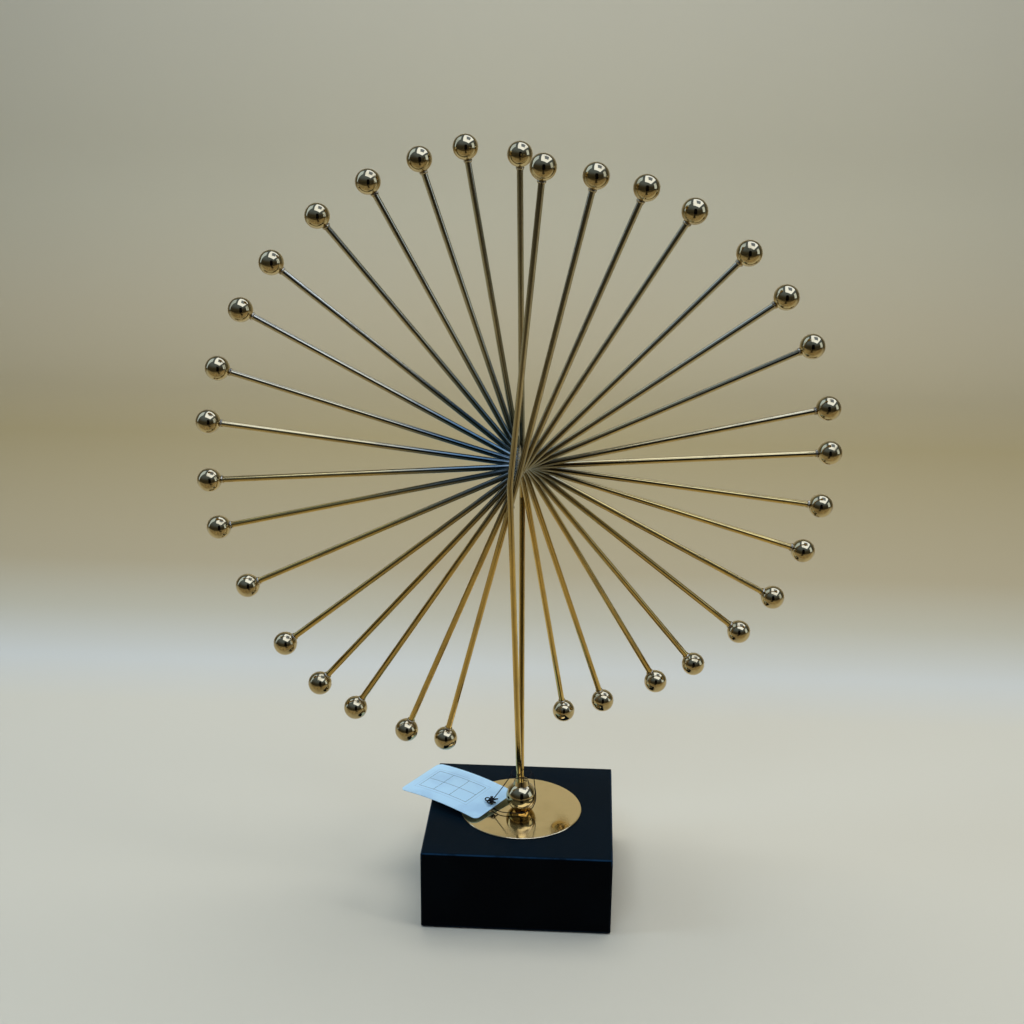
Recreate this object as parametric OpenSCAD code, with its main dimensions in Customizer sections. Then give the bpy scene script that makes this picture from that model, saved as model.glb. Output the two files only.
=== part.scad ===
// Starburst ornament: a fan of brass-plated rods, brazed one behind the other
// and each turned a little further than the last, with a ball on every end.
// The front and back rods bend at the hub and run down as legs into a ball
// that is screwed to a black block. A hang tag is tied round the stem.
// Millimetres. +Z is up, -Y is the front, the origin is under the block's centre.

/* [Fan of rods] */
// Diameter of the rods
rod_d = 3.8; // [3.4:0.1:3.8]
// Distance from one rod's axis to the next, front to back
rod_pitch = 3.85; // [3.85:0.05:4.1]
// Distance from the hub's axis to the centre of a ball
fan_r = 192; // [170:1:210]
// Diameter of the balls on the rod ends
ball_d = 15.2; // [14:0.2:16]
// Turn of the front rod from upright, clockwise from the front, in degrees
front_turn = 5; // [4:1:6]
// Turn of the back rod from upright, in degrees
back_turn = 179; // [178:1:180]
// Lean of the fan towards the front, in degrees
fan_lean = 6.7; // [5:0.1:8]
// Turn of the fan on the block, anticlockwise from above, in degrees
fan_yaw = 2.2; // [0:0.1:5]
// Height of the hub's centre above the table
hub_z = 293.6; // [285:0.2:300]

/* [Stand] */
// Side of the square block
base_side = 122; // [115:1:130]
// Height of the block with the felt under it
base_h = 54.2; // [52:0.2:56]
// Radius of the block's edges
edge_r = 1.6; // [1:0.2:3]
// Diameter of the polished plate
plate_d = 80.6; // [70:0.2:90]
// Thickness of the polished plate
plate_t = 1; // [0.8:0.1:1.5]
// Diameter of the ball that the legs stand in
stand_ball_d = 20; // [19:0.5:22]

/* [Hang tag] */
// Length of the card
card_l = 66; // [60:1:70]
// Width of the card
card_w = 42; // [38:1:46]
// Thickness of the card
card_t = 0.4; // [0.3:0.1:0.6]
// Diameter of the thread
thread_d = 0.6; // [0.5:0.1:0.8]

/* [Hidden] */
$fn = 48;
SLACK = 0.01; // overlap of a cutter past the face that it cuts

// How far each rod was brazed off the even step, front to back, in degrees
HAND_SET = [0, -2.5, -4, -5, -3, -2.5, -2, 0.5, -0.5, 0.5, 0.5, 2, 2, 3.5, 2, 3.5, 1.5, 0];
ROD_COUNT = len(HAND_SET);
LAST = ROD_COUNT - 1;
EVEN_STEP = (back_turn - front_turn) / LAST;
// Rods that were knocked a little bent at the hub: [rod, bend of its far half in degrees]
BENT = [[1, 1], [3, 1.5], [4, -2.5], [5, -3], [14, 2]];
// Rods whose two ends differ: [rod, extra length of the near half, of the far half]
UNEVEN = [[1, -1.5, -4.5], [3, 0, 2.5], [4, 0, 3.5], [6, 0, -2.5], [15, 2.5, 0], [16, 7, 0]];
// Sideways place of the front and back rods at the hub
FRONT_X = -3.9;
BACK_X = 2.6;
FRONT_GAP = 0.4; // the front rod stands proud of its pitch by this much, so its leg clears the next rod
BACK_SHORTER = 7.3; // the back rod's upper end stops short of the ring by this much
BACK_BEND = 36; // the back rod bends this far below the hub

ROD_R = rod_d / 2;
BALL_R = ball_d / 2;
ROD_IN_BALL = 3.5; // how deep a rod's end goes into its ball
NECK_L = 2; // height of the weld round a rod where it meets its ball
NECK_SINK = 0.6; // how far the weld runs into the ball
NECK_R = ROD_R + 0.35;
BEAD_R = 2.2; // radius of the braze along the hub
CROSSING_R = 2.7; // radius of the two outer beads of braze
CROSSING_Z = -14.5; // where the front and back rods cross their neighbours

FELT_T = 1.2;
FELT_INSET = 3;
BLOCK_TOP = base_h;
PLATE_TOP = BLOCK_TOP + plate_t;
STAND_R = stand_ball_d / 2;
STAND_FLAT = 1; // height of the flat ground under the stand ball
STAND_Z = PLATE_TOP + STAND_R - STAND_FLAT;
HUB_X = -5.3; // the hub's centre is this far off the stand ball's axis

// Where the legs end, just inside the stand ball, in the fan's turned frame
FRONT_FOOT = [-1.1, -1.9, STAND_Z + 7];
BACK_FOOT = [-0.1, 2, STAND_Z + 7];

WELD_Z = 8.1; // the stem's weld starts this far above the stand ball's centre
WELD_H = 3.8;
WELD_R = 5.4;
WELD_TOP_R = 4.5;

SCREW_D = 5;
SCREW_L = 50;
SCREW_HOLE_D = 5.5;
HEAD_D = 9.5;
HEAD_H = 3.5;
SOCKET_AF = 3;
SOCKET_DEPTH = 2;
WASHER_D = 15;
WASHER_T = 1.2;
COUNTERBORE_D = 18;
SCREW_DEPTH = 9; // how far the screw reaches into the stand ball
SEAT_Z = PLATE_TOP + SCREW_DEPTH - SCREW_L - WASHER_T; // roof of the counterbore

CARD_PLACE = [-44.3, 14.7, 59];
CARD_TURN = [2.7, 0, -33.8];
CARD_SAG = 2.2; // how far the card's ends droop below its middle
CARD_CORNER = 4;
CARD_BOW_R = pow(card_l / 2, 2) / (2 * CARD_SAG);
HOLE_R = 1.6;
HOLE_X = card_l / 2 - 3.5;
KNOT_R = 3.4;
KNOT_H = 3.2;
KNOT_LIFT = 0.45; // the knot's underside lies this far above the middle of the card
KNOT_STEM = 1.3; // length of the thread's stem through the hole

// The thread: up from the knot to the stem, round it, and down past the ball
// to the underside of the card's hole
THREAD_UP = [[-18.6, -1.6, 61.6], [-15.4, -1.4, 66], [-11, -1, 72.6], [-8, -0.6, 77.4]];
THREAD_DOWN = [
    [8.2, -0.6, 78.2], [9, -2, 73], [9.8, -3.6, 67.6], [9.6, -5.6, 62.8],
    [7.4, -7.8, 59], [3.2, -9.4, 57], [-2.4, -10.4, 56.6], [-8, -10.4, 56.6],
    [-13, -9.4, 56.6], [-17, -6.4, 56.7], [-19.2, -3.2, 57.1], [-19.8, -1.7, 58]
];
LOOP_R = 6.8; // radius of the turns round the stem
LOOP_Z = 79.8;
LOOP_TURNS = 1.5;
LOOP_RISE = 1.6; // how far the turns climb
LOOP_STEPS = 15;
THREAD_SIDES = 8;
THREAD_STEP = 0.5; // share of a stretch between two rings of the tube

function two_digits(i) = str(i < 10 ? "0" : "", i);
function turn(k) = front_turn + k * EVEN_STEP + HAND_SET[k];
function bend(k) = let (found = [for (b = BENT) if (b[0] == k) b[1]]) len(found) ? found[0] : 0;
function extra(k) = let (found = [for (u = UNEVEN) if (u[0] == k) [u[1], u[2]]]) len(found) ? found[0] : [0, 0];
function rod_y(k) = (k - LAST / 2) * rod_pitch - (k == 0 ? FRONT_GAP : 0);
function lean(p) = [p.x, p.y * cos(fan_lean) - p.z * sin(fan_lean), p.y * sin(fan_lean) + p.z * cos(fan_lean)];
function fan_point(p) = lean(p) + [HUB_X, 0, hub_z];
function heading(t) = lean([sin(t), 0, cos(t)]);
function unit(v) = v / norm(v);

// The knees of the two bent rods, and which way their spokes and legs run
FRONT_UP = heading(turn(0));
BACK_UP = heading(turn(LAST) - 180);
FRONT_KNEE = fan_point([FRONT_X, rod_y(0), 0]);
BACK_KNEE = fan_point([BACK_X, rod_y(LAST), 0]) - BACK_BEND * BACK_UP;
FRONT_MITRE = unit(FRONT_UP + unit(FRONT_KNEE - FRONT_FOOT));
BACK_MITRE = unit(BACK_UP + unit(BACK_KNEE - BACK_FOOT));

RODS = [1:LAST - 1];

BRASS = "#c9a24e";
CHAMPAGNE = "#cdb98a";
ROSE_GOLD = "#cfa56a";
BLACK = "#14161c";
STEEL = "#9a9c9e";
TAG_BLUE = "#a8cdf0";

// ---- frames ----

// Turned with the fan about the stand ball's axis
module in_stand() { rotate([0, 0, fan_yaw]) children(); }

// The hub's centre, with Y along the hub and Z up the leaning fan
module in_fan() { in_stand() translate([HUB_X, 0, hub_z]) rotate([fan_lean, 0, 0]) children(); }

// A cylinder from one point to another
module bar(a, b, r) {
    d = b - a;
    translate(a) rotate([0, acos(d.z / norm(d)), atan2(d.y, d.x)]) cylinder(h = norm(d), r = r);
}

// ---- rods ----

// A straight rod, or one with its far half bent; the halves meet at a mitre
module fan_rod(k) {
    near = fan_r - BALL_R + ROD_IN_BALL + extra(k)[0];
    far = fan_r - BALL_R + ROD_IN_BALL + extra(k)[1];
    b = bend(k);
    translate([0, rod_y(k), 0]) rotate([0, turn(k), 0]) {
        if (b == 0) {
            translate([0, 0, -far]) cylinder(h = near + far, r = ROD_R);
        } else {
            half = 2 * rod_d;
            union() {
                difference() {
                    translate([0, 0, -1]) cylinder(h = near + 1, r = ROD_R);
                    rotate([0, b / 2, 0]) translate([-half, -half, -2 * half]) cube(2 * half);
                }
                difference() {
                    rotate([0, b, 0]) translate([0, 0, -far]) cylinder(h = far + 1, r = ROD_R);
                    rotate([0, b / 2, 0]) translate([-half, -half, 0]) cube(2 * half);
                }
            }
        }
    }
}

// A ball with its weld neck, centred this far out along the local Z axis
module ball_on_rod(r_out) {
    difference() {
        union() {
            translate([0, 0, r_out]) sphere(r = BALL_R, $fn = 64);
            translate([0, 0, r_out - BALL_R - NECK_L + NECK_SINK]) cylinder(h = NECK_L, r = NECK_R);
        }
        translate([0, 0, r_out - BALL_R - 2 * NECK_L]) cylinder(h = 2 * NECK_L + ROD_IN_BALL, r = ROD_R);
    }
}

module rod(k) { color(BRASS) in_fan() fan_rod(k); }

module ball_pair(k) {
    color(CHAMPAGNE) in_fan() translate([0, rod_y(k), 0]) rotate([0, turn(k), 0]) {
        ball_on_rod(fan_r + extra(k)[0]);
        rotate([0, bend(k) + 180, 0]) ball_on_rod(fan_r + extra(k)[1]);
    }
}

// ---- the bent front and back rods: an upper spoke and a leg each ----

// A bar that runs past a knee, cut off there along the mitre; side 1 keeps what is above it, -1 below
module mitred(a, b, knee, normal, side) {
    block = 4 * rod_d;
    difference() {
        bar(a, b, ROD_R);
        translate(knee) rotate([0, acos(normal.z), atan2(normal.y, normal.x)])
            translate([-block / 2, -block / 2, side > 0 ? -block : 0]) cube(block);
    }
}

module front_spoke() {
    top = FRONT_KNEE + (fan_r - BALL_R + ROD_IN_BALL) * FRONT_UP;
    color(BRASS) in_stand() mitred(FRONT_KNEE - FRONT_UP, top, FRONT_KNEE, FRONT_MITRE, 1);
}

module front_leg() {
    past = FRONT_KNEE + unit(FRONT_KNEE - FRONT_FOOT);
    color(BRASS) in_stand() mitred(FRONT_FOOT, past, FRONT_KNEE, FRONT_MITRE, -1);
}

module back_spoke() {
    top = BACK_KNEE + (BACK_BEND + fan_r - BACK_SHORTER - BALL_R + ROD_IN_BALL) * BACK_UP;
    color(BRASS) in_stand() mitred(BACK_KNEE - BACK_UP, top, BACK_KNEE, BACK_MITRE, 1);
}

module back_leg() {
    past = BACK_KNEE + unit(BACK_KNEE - BACK_FOOT);
    color(BRASS) in_stand() mitred(BACK_FOOT, past, BACK_KNEE, BACK_MITRE, -1);
}

module front_ball() {
    color(CHAMPAGNE) in_fan() translate([FRONT_X, rod_y(0), 0]) rotate([0, turn(0), 0]) ball_on_rod(fan_r);
}

module back_ball() {
    color(CHAMPAGNE) in_fan() translate([BACK_X, rod_y(LAST), 0]) rotate([0, turn(LAST) - 180, 0])
        ball_on_rod(fan_r - BACK_SHORTER);
}

// ---- braze and weld ----

// A stub of metal along Y between two rods
module bead(x, z, y0, y1, r) { translate([x, y0, z]) rotate([-90, 0, 0]) cylinder(h = y1 - y0, r = r); }

module hub_braze() {
    color(BRASS) in_fan() difference() {
        bead(0, 0, rod_y(1), rod_y(LAST - 1), BEAD_R);
        for (k = RODS) fan_rod(k);
    }
}

module front_braze() {
    color(BRASS) difference() {
        in_fan() bead(FRONT_X + 0.7, CROSSING_Z, rod_y(0), rod_y(1), CROSSING_R);
        front_leg();
        in_fan() fan_rod(1);
    }
}

module back_braze() {
    color(BRASS) difference() {
        in_fan() bead(BACK_X, CROSSING_Z, rod_y(LAST - 1), rod_y(LAST), CROSSING_R);
        back_spoke();
        in_fan() fan_rod(LAST - 1);
    }
}

module stem_weld() {
    color(CHAMPAGNE) difference() {
        in_stand() translate([0, 0, STAND_Z + WELD_Z]) cylinder(h = WELD_H, r1 = WELD_R, r2 = WELD_TOP_R);
        translate([0, 0, STAND_Z]) sphere(r = STAND_R, $fn = 96);
        front_leg();
        back_leg();
    }
}

// ---- stand ----

module stand_ball() {
    color(CHAMPAGNE) difference() {
        translate([0, 0, STAND_Z]) sphere(r = STAND_R, $fn = 96);
        translate([-STAND_R, -STAND_R, PLATE_TOP - stand_ball_d]) cube(stand_ball_d);
        translate([0, 0, PLATE_TOP - 1]) cylinder(h = SCREW_DEPTH + 1, d = SCREW_D);
        front_leg();
        back_leg();
    }
}

module mirror_plate() {
    color(ROSE_GOLD) translate([0, 0, BLOCK_TOP]) difference() {
        cylinder(h = plate_t, d = plate_d, $fn = 120);
        translate([0, 0, -1]) cylinder(h = plate_t + 2, d = SCREW_HOLE_D);
    }
}

// A square with four round corners, or with two round corners at its top
module round_square(w, h, r, low_corners) {
    translate([r - w / 2, 0]) square([w - 2 * r, h]);
    translate([-w / 2, low_corners ? r : 0]) square([w, h - (low_corners ? 2 : 1) * r]);
    for (side = [-1, 1]) {
        translate([side * (w / 2 - r), h - r]) circle(r = r);
        if (low_corners) translate([side * (w / 2 - r), r]) circle(r = r);
    }
}

module base_block() {
    h = base_h - FELT_T;
    color(BLACK) translate([0, 0, FELT_T]) difference() {
        intersection() {
            translate([0, -base_side / 2, 0]) linear_extrude(h) round_square(base_side, base_side, edge_r, true);
            rotate([90, 0, 0]) linear_extrude(base_side, center = true) round_square(base_side, h, edge_r, false);
            rotate([90, 0, 90]) linear_extrude(base_side, center = true) round_square(base_side, h, edge_r, false);
        }
        translate([0, 0, -1]) cylinder(h = h + 2, d = SCREW_HOLE_D);
        translate([0, 0, -1]) cylinder(h = SEAT_Z - FELT_T + 1, d = COUNTERBORE_D);
    }
}

module felt_sheet() {
    side = base_side - 2 * FELT_INSET;
    color("#2a2a2c") translate([-side / 2, -side / 2, 0]) cube([side, side, FELT_T]);
}

module base_washer() {
    color(STEEL) translate([0, 0, SEAT_Z - WASHER_T]) difference() {
        cylinder(h = WASHER_T, d = WASHER_D);
        translate([0, 0, -1]) cylinder(h = WASHER_T + 2, d = SCREW_HOLE_D);
    }
}

module base_screw() {
    under_head = SEAT_Z - WASHER_T;
    color(STEEL) difference() {
        union() {
            translate([0, 0, under_head]) cylinder(h = SCREW_L, d = SCREW_D);
            translate([0, 0, under_head - HEAD_H]) cylinder(h = HEAD_H, d = HEAD_D);
        }
        translate([0, 0, under_head - HEAD_H - 1])
            cylinder(h = SOCKET_DEPTH + 1, d = SOCKET_AF / cos(30), $fn = 6);
    }
}

// ---- hang tag ----

module in_card() { translate(CARD_PLACE) rotate(CARD_TURN) children(); }

// A slice of a wide tube, so that the card's ends droop, cut to the card's outline
module tag_card() {
    color(TAG_BLUE) in_card() difference() {
        intersection() {
            translate([0, 0, CARD_SAG / 2 - CARD_BOW_R]) rotate([90, 0, 0])
                difference() {
                    cylinder(h = 2 * card_w, r = CARD_BOW_R, center = true, $fn = 720);
                    cylinder(h = 2 * card_w + 2, r = CARD_BOW_R - card_t, center = true, $fn = 720);
                }
            translate([0, -card_w / 2, -2 * CARD_SAG]) linear_extrude(4 * CARD_SAG)
                round_square(card_l, card_w, CARD_CORNER, true);
        }
        translate([HOLE_X, 0, -2 * CARD_SAG]) cylinder(h = 4 * CARD_SAG, r = HOLE_R);
    }
}

// The lump of the knot on top of the card, and its stem through the hole
module tag_knot() {
    drop = pow(HOLE_X, 2) / (2 * CARD_BOW_R);
    color("#101014") in_card() translate([HOLE_X, 0, CARD_SAG / 2 - drop + KNOT_LIFT]) {
        cylinder(h = KNOT_H, r1 = KNOT_R, r2 = 0.5 * KNOT_R);
        translate([0, 0, -KNOT_STEM]) cylinder(h = KNOT_STEM + 0.1, r = HOLE_R - 0.2);
    }
}

function loop_point(i) =
    let (a = 180 + 360 * LOOP_TURNS * i / LOOP_STEPS)
    [LOOP_R * cos(a), LOOP_R * sin(a), LOOP_Z + LOOP_RISE * i / LOOP_STEPS];
THREAD_LOOP = [for (i = [0:LOOP_STEPS]) loop_point(i)];
THREAD_ROUTE = concat(THREAD_UP, THREAD_LOOP, THREAD_DOWN);

// A point on the smooth curve through b and c, with neighbours a and d
function smooth(a, b, c, d, t) =
    0.5 * (2 * b + (c - a) * t + (2 * a - 5 * b + 4 * c - d) * t * t + (3 * b - a - 3 * c + d) * t * t * t);
function at(route, i) = route[max(0, min(len(route) - 1, i))];
function rings_of(route) = concat(
    [for (i = [0:len(route) - 2], t = [0:THREAD_STEP:1 - SLACK])
        smooth(at(route, i - 1), at(route, i), at(route, i + 1), at(route, i + 2), t)],
    [at(route, len(route) - 1)]
);
// A tube along a route, as one closed surface with flat ends
module tube(route, r) {
    centres = rings_of(route);
    last = len(centres) - 1;
    along = [for (i = [0:last]) unit(centres[min(i + 1, last)] - centres[max(i - 1, 0)])];
    side = [for (i = [0:last]) unit(cross(along[i], [0.2, 0.1, 1]))];
    points = [for (i = [0:last], s = [0:THREAD_SIDES - 1])
        let (a = 360 * s / THREAD_SIDES)
        centres[i] + r * (side[i] * cos(a) + cross(side[i], along[i]) * sin(a))];
    walls = [for (i = [0:last - 1], s = [0:THREAD_SIDES - 1])
        let (n = (s + 1) % THREAD_SIDES, a = i * THREAD_SIDES)
        [a + s, a + n, a + THREAD_SIDES + n, a + THREAD_SIDES + s]];
    ends = [
        [for (s = [THREAD_SIDES - 1:-1:0]) s],
        [for (s = [0:THREAD_SIDES - 1]) last * THREAD_SIDES + s]
    ];
    polyhedron(points, concat(walls, ends), convexity = 10);
}

module tag_thread() { color("#101014") tube(THREAD_ROUTE, thread_d / 2); }

// ---- one line per node ----

for (k = RODS) {
    rod(k);
    ball_pair(k);
}
front_spoke();
front_leg();
front_ball();
back_spoke();
back_leg();
back_ball();
front_braze();
hub_braze();
back_braze();
stand_ball();
stem_weld();
mirror_plate();
base_block();
felt_sheet();
base_screw();
base_washer();
tag_card();
tag_thread();
tag_knot();
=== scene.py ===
# %% [markdown]
# # A starburst desk sculpture in polished brass
# The sculpture is a fan of crossed brass rods with a ball on every tip. It stands on two legs, a stand
# ball, a polished plate and a black lacquered block, and a blank price card hangs from it on a thread.
# The solid model is loaded first. It fixes every size and place, and what follows adds the finish.

# %% Load the solid model
import math
import bpy
import numpy as np
from mathutils import Euler, Matrix, Vector


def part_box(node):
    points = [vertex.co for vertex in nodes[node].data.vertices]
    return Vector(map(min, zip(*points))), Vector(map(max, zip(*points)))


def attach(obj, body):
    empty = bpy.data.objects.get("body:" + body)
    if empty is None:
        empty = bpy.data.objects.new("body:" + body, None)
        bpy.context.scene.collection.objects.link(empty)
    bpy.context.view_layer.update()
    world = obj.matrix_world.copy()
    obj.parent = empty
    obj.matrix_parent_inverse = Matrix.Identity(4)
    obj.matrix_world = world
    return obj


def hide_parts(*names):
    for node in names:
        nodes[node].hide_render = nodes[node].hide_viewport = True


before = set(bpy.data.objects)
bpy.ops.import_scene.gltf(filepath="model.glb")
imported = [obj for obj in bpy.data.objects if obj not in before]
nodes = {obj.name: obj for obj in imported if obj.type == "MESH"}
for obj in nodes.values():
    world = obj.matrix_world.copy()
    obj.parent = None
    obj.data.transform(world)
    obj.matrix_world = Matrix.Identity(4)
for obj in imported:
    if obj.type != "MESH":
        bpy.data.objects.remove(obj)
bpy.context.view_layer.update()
MM = 0.001

# %% [markdown]
# ## The camera
# A camera in Blender looks down its own -Z axis with +Y up. Its place and three turns are found so that
# the balls of the fan and the corners of the block fall where they should in the frame. The turns are
# written as a heading, a pitch below the horizon and a small roll, and put together as matrices.

# %% Place the camera
EYE = Vector((37.4, -884.6, 555.6)) * MM
HEADING, PITCH, ROLL = (math.radians(a) for a in (-2.949, 18.276, 0.619))
LENS = 52.4

bpy.ops.object.select_all(action="DESELECT")
bpy.ops.object.camera_add(location=EYE)
camera = bpy.context.object
camera.name = "studio_camera"
camera.data.lens = LENS
camera.data.sensor_width = 36
camera.data.clip_start = 0.01
camera.rotation_euler = (
    Matrix.Rotation(-HEADING, 3, "Z")
    @ Matrix.Rotation(math.pi / 2 - PITCH, 3, "X")
    @ Matrix.Rotation(ROLL, 3, "Z")
).to_euler()
bpy.context.scene.camera = camera
bpy.context.scene.view_settings.view_transform = "Standard"
print("camera at", [round(v, 3) for v in EYE])

# %% [markdown]
# ## The thread
# A black cotton thread leaves the knot on the card, climbs to the stem, goes one and a half times round
# the legs, comes down beside the stand ball, passes in front of it just above the plate and goes up
# through the card's hole into the same knot. The points are joined by a Catmull-Rom curve, which passes
# through each one. A curve with a round bevel lays the thread along that line, and it is then made a mesh.

# %% The thread's route
THREAD_UP = [(-18.6, -1.6, 61.6), (-15.4, -1.4, 66), (-11, -1, 72.6), (-8, -0.6, 77.4)]
THREAD_DOWN = [
    (8.2, -0.6, 78.2), (9, -2, 73), (9.8, -3.6, 67.6), (9.6, -5.6, 62.8),
    (7.4, -7.8, 59), (3.2, -9.4, 57), (-2.4, -10.4, 56.6), (-8, -10.4, 56.6),
    (-13, -9.4, 56.6), (-17, -6.4, 56.7), (-19.2, -3.2, 57.1), (-19.8, -1.7, 58),
]
LOOP_R, LOOP_Z, LOOP_TURNS, LOOP_RISE, LOOP_STEPS = 6.8, 79.8, 1.5, 1.6, 15
THREAD_D = 0.6


def loop_point(i):
    """A point of the turns round the stem, in millimetres."""
    a = math.radians(180 + 360 * LOOP_TURNS * i / LOOP_STEPS)
    return (LOOP_R * math.cos(a), LOOP_R * math.sin(a), LOOP_Z + LOOP_RISE * i / LOOP_STEPS)


def smooth_line(points, rings):
    """A Catmull-Rom line through the points, with so many steps for each stretch."""
    pts = [Vector(p) for p in points]
    line = []
    for i in range(len(pts) - 1):
        before, a, b, after = pts[max(i - 1, 0)], pts[i], pts[i + 1], pts[min(i + 2, len(pts) - 1)]
        for step in range(rings):
            t = step / rings
            line.append(
                0.5 * (2 * a + (b - before) * t + (2 * before - 5 * a + 4 * b - after) * t**2
                       + (3 * a - before - 3 * b + after) * t**3)
            )
    return line + [pts[-1]]


thread_route = THREAD_UP + [loop_point(i) for i in range(LOOP_STEPS + 1)] + THREAD_DOWN
thread_line = [p * MM for p in smooth_line(thread_route, 4)]
thread_length = sum((b - a).length for a, b in zip(thread_line, thread_line[1:]))
print("thread", round(thread_length, 4), "m along", len(thread_line), "points")


# %% Lay the thread
def strand(name, points, diameter, closed=False):
    """A round strand that follows the points, as a curve."""
    data = bpy.data.curves.new(name, "CURVE")
    data.dimensions = "3D"
    data.bevel_depth = diameter / 2
    data.bevel_resolution = 3
    data.use_fill_caps = True
    spline = data.splines.new("POLY")
    spline.points.add(len(points) - 1)
    for point, place in zip(spline.points, points):
        point.co = (*place, 1)
    spline.use_cyclic_u = closed
    piece = bpy.data.objects.new(name, data)
    bpy.context.scene.collection.objects.link(piece)
    return piece


def as_mesh(parts, name):
    """Turns strands into one mesh with smooth sides."""
    bpy.ops.object.select_all(action="DESELECT")
    for part in parts:
        part.select_set(True)
    bpy.context.view_layer.objects.active = parts[0]
    bpy.ops.object.convert(target="MESH")
    if len(parts) > 1:
        bpy.ops.object.join()
    piece = bpy.context.object
    piece.name = name
    bpy.ops.object.shade_smooth()
    print(name, [round(v / MM, 1) for v in piece.dimensions], "mm")
    return piece


thread = as_mesh([strand("thread_line", thread_line, THREAD_D * MM)], "tag_thread_cord")

# %% [markdown]
# The knot on top of the card is a small clover: one strand runs out and back in five loops, is wrapped
# round its middle three times and ends in two frayed tips. A rose curve gives the loops in one line, and
# a short helix gives the wraps. The strands are turned into meshes and joined into one piece.

# %% The knot
CARD_PLACE = Vector((-44.3, 14.7, 59)) * MM
CARD_TURN = Euler((math.radians(2.7), 0, math.radians(-33.8)))
knot_low, knot_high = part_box("tag_knot")
KNOT_PLACE = (knot_low + knot_high) / 2
KNOT_PLACE.z = knot_high.z - 1.7 * MM
PETALS, PETAL_R, PETAL_STEPS = 5, 3.7, 110
WRAP_R, WRAPS, WRAP_STEPS = 1.15, 3, 48


def knot_point(x, y, z):
    """From the knot's own frame, in millimetres and square to the card, to the object's frame."""
    return KNOT_PLACE + CARD_TURN.to_matrix() @ Vector((x, y, z)) * MM


def rose(i):
    """The strand of the clover: out and back in five loops of different reach."""
    a = 2 * math.pi * i / PETAL_STEPS
    reach = 0.7 + (PETAL_R - 0.5 * (int(a * PETALS / (2 * math.pi)) % 2)) * math.sin(a * PETALS / 2) ** 2
    lift = 0.5 + 0.7 * math.sin(a * PETALS)
    return knot_point(reach * math.cos(a + 0.3), reach * math.sin(a + 0.3), lift)


def wrap(i):
    """The strand round the middle of the knot."""
    a = 2 * math.pi * WRAPS * i / WRAP_STEPS
    return knot_point(WRAP_R * math.cos(a), WRAP_R * math.sin(a), -0.4 + 2 * i / WRAP_STEPS)


KNOT_D = 0.85 * MM
parts = [
    strand("clover", [rose(i) for i in range(PETAL_STEPS)], KNOT_D, closed=True),
    strand("wraps", [wrap(i) for i in range(WRAP_STEPS + 1)], KNOT_D * 1.25),
    strand("core", [knot_point(0, 0, -1.2), knot_point(0.1, 0, 0.4), knot_point(0, 0.1, 1.5)], 1.9 * MM),
]
for tip, end in enumerate([(-2.6, 3.2, 0.3), (2.9, -3.1, 0.5)]):
    way = [(0.2 * end[0], 0.2 * end[1], 1.2), (0.6 * end[0], 0.5 * end[1], 1.5), end]
    parts.append(strand(f"tip_{tip}", [knot_point(*p) for p in smooth_line(way, 5)], KNOT_D))
knot = as_mesh(parts, "thread_knot")

# %% Hang both on the card's body
for piece, node in ((thread, "tag_thread"), (knot, "tag_knot")):
    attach(piece, "tag")
    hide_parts(node)

# %% [markdown]
# ## Helpers for materials
# A material is a small network of nodes. Two short helpers keep each network readable: one adds a node
# with its values and links, the other adds a Math node and gives back its result.


# %% Node helpers
def put(tree, kind, inputs=None, **settings):
    """Adds a node; an input that is a socket is linked, and any other value is set."""
    made = tree.nodes.new("ShaderNode" + kind)
    for name, value in settings.items():
        setattr(made, name, value)
    for name, value in (inputs or {}).items():
        if isinstance(value, bpy.types.NodeSocket):
            tree.links.new(value, made.inputs[name])
        else:
            made.inputs[name].default_value = value
    return made


def calc(tree, operation, a, b=0.0, clamp=False):
    """The result of a Math node."""
    return put(tree, "Math", {0: a, 1: b}, operation=operation, use_clamp=clamp).outputs[0]


def blend_colour(tree, share, a, b, way="MIX"):
    """One colour over another, by a share from 0 to 1."""
    mixer = put(tree, "Mix", data_type="RGBA", blend_type=way)
    for socket, value in zip((mixer.inputs[0], mixer.inputs[6], mixer.inputs[7]), (share, a, b)):
        if isinstance(value, bpy.types.NodeSocket):
            tree.links.new(value, socket)
        else:
            socket.default_value = value
    return mixer.outputs[2]


def smooth_range(tree, value, low, high, to_low=0.0, to_high=1.0):
    """A soft step of a value from one range to another."""
    return put(
        tree, "MapRange", {0: value, 1: low, 2: high, 3: to_low, 4: to_high}, interpolation_type="SMOOTHSTEP"
    ).outputs[0]


def place_of(tree):
    """The point of the surface in the object's own frame."""
    return put(tree, "TexCoord").outputs["Object"]


def place_z(tree):
    """The height of the surface above the table."""
    return put(tree, "SeparateXYZ", {0: place_of(tree)}).outputs[2]


def facing_up(tree):
    """How far the surface faces up: 1 on a level top and 0 on an upright side."""
    return put(tree, "SeparateXYZ", {0: put(tree, "NewGeometry").outputs["Normal"]}).outputs[2]


def new_group(name, inputs, outputs):
    """A node group with named sockets; gives the group and its two end nodes."""
    group = bpy.data.node_groups.new(name, "ShaderNodeTree")
    for socket, kind, value in inputs:
        made = group.interface.new_socket(name=socket, in_out="INPUT", socket_type="NodeSocket" + kind)
        made.default_value = value
    for socket, kind in outputs:
        group.interface.new_socket(name=socket, in_out="OUTPUT", socket_type="NodeSocket" + kind)
    return group, group.nodes.new("NodeGroupInput"), group.nodes.new("NodeGroupOutput")


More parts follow.
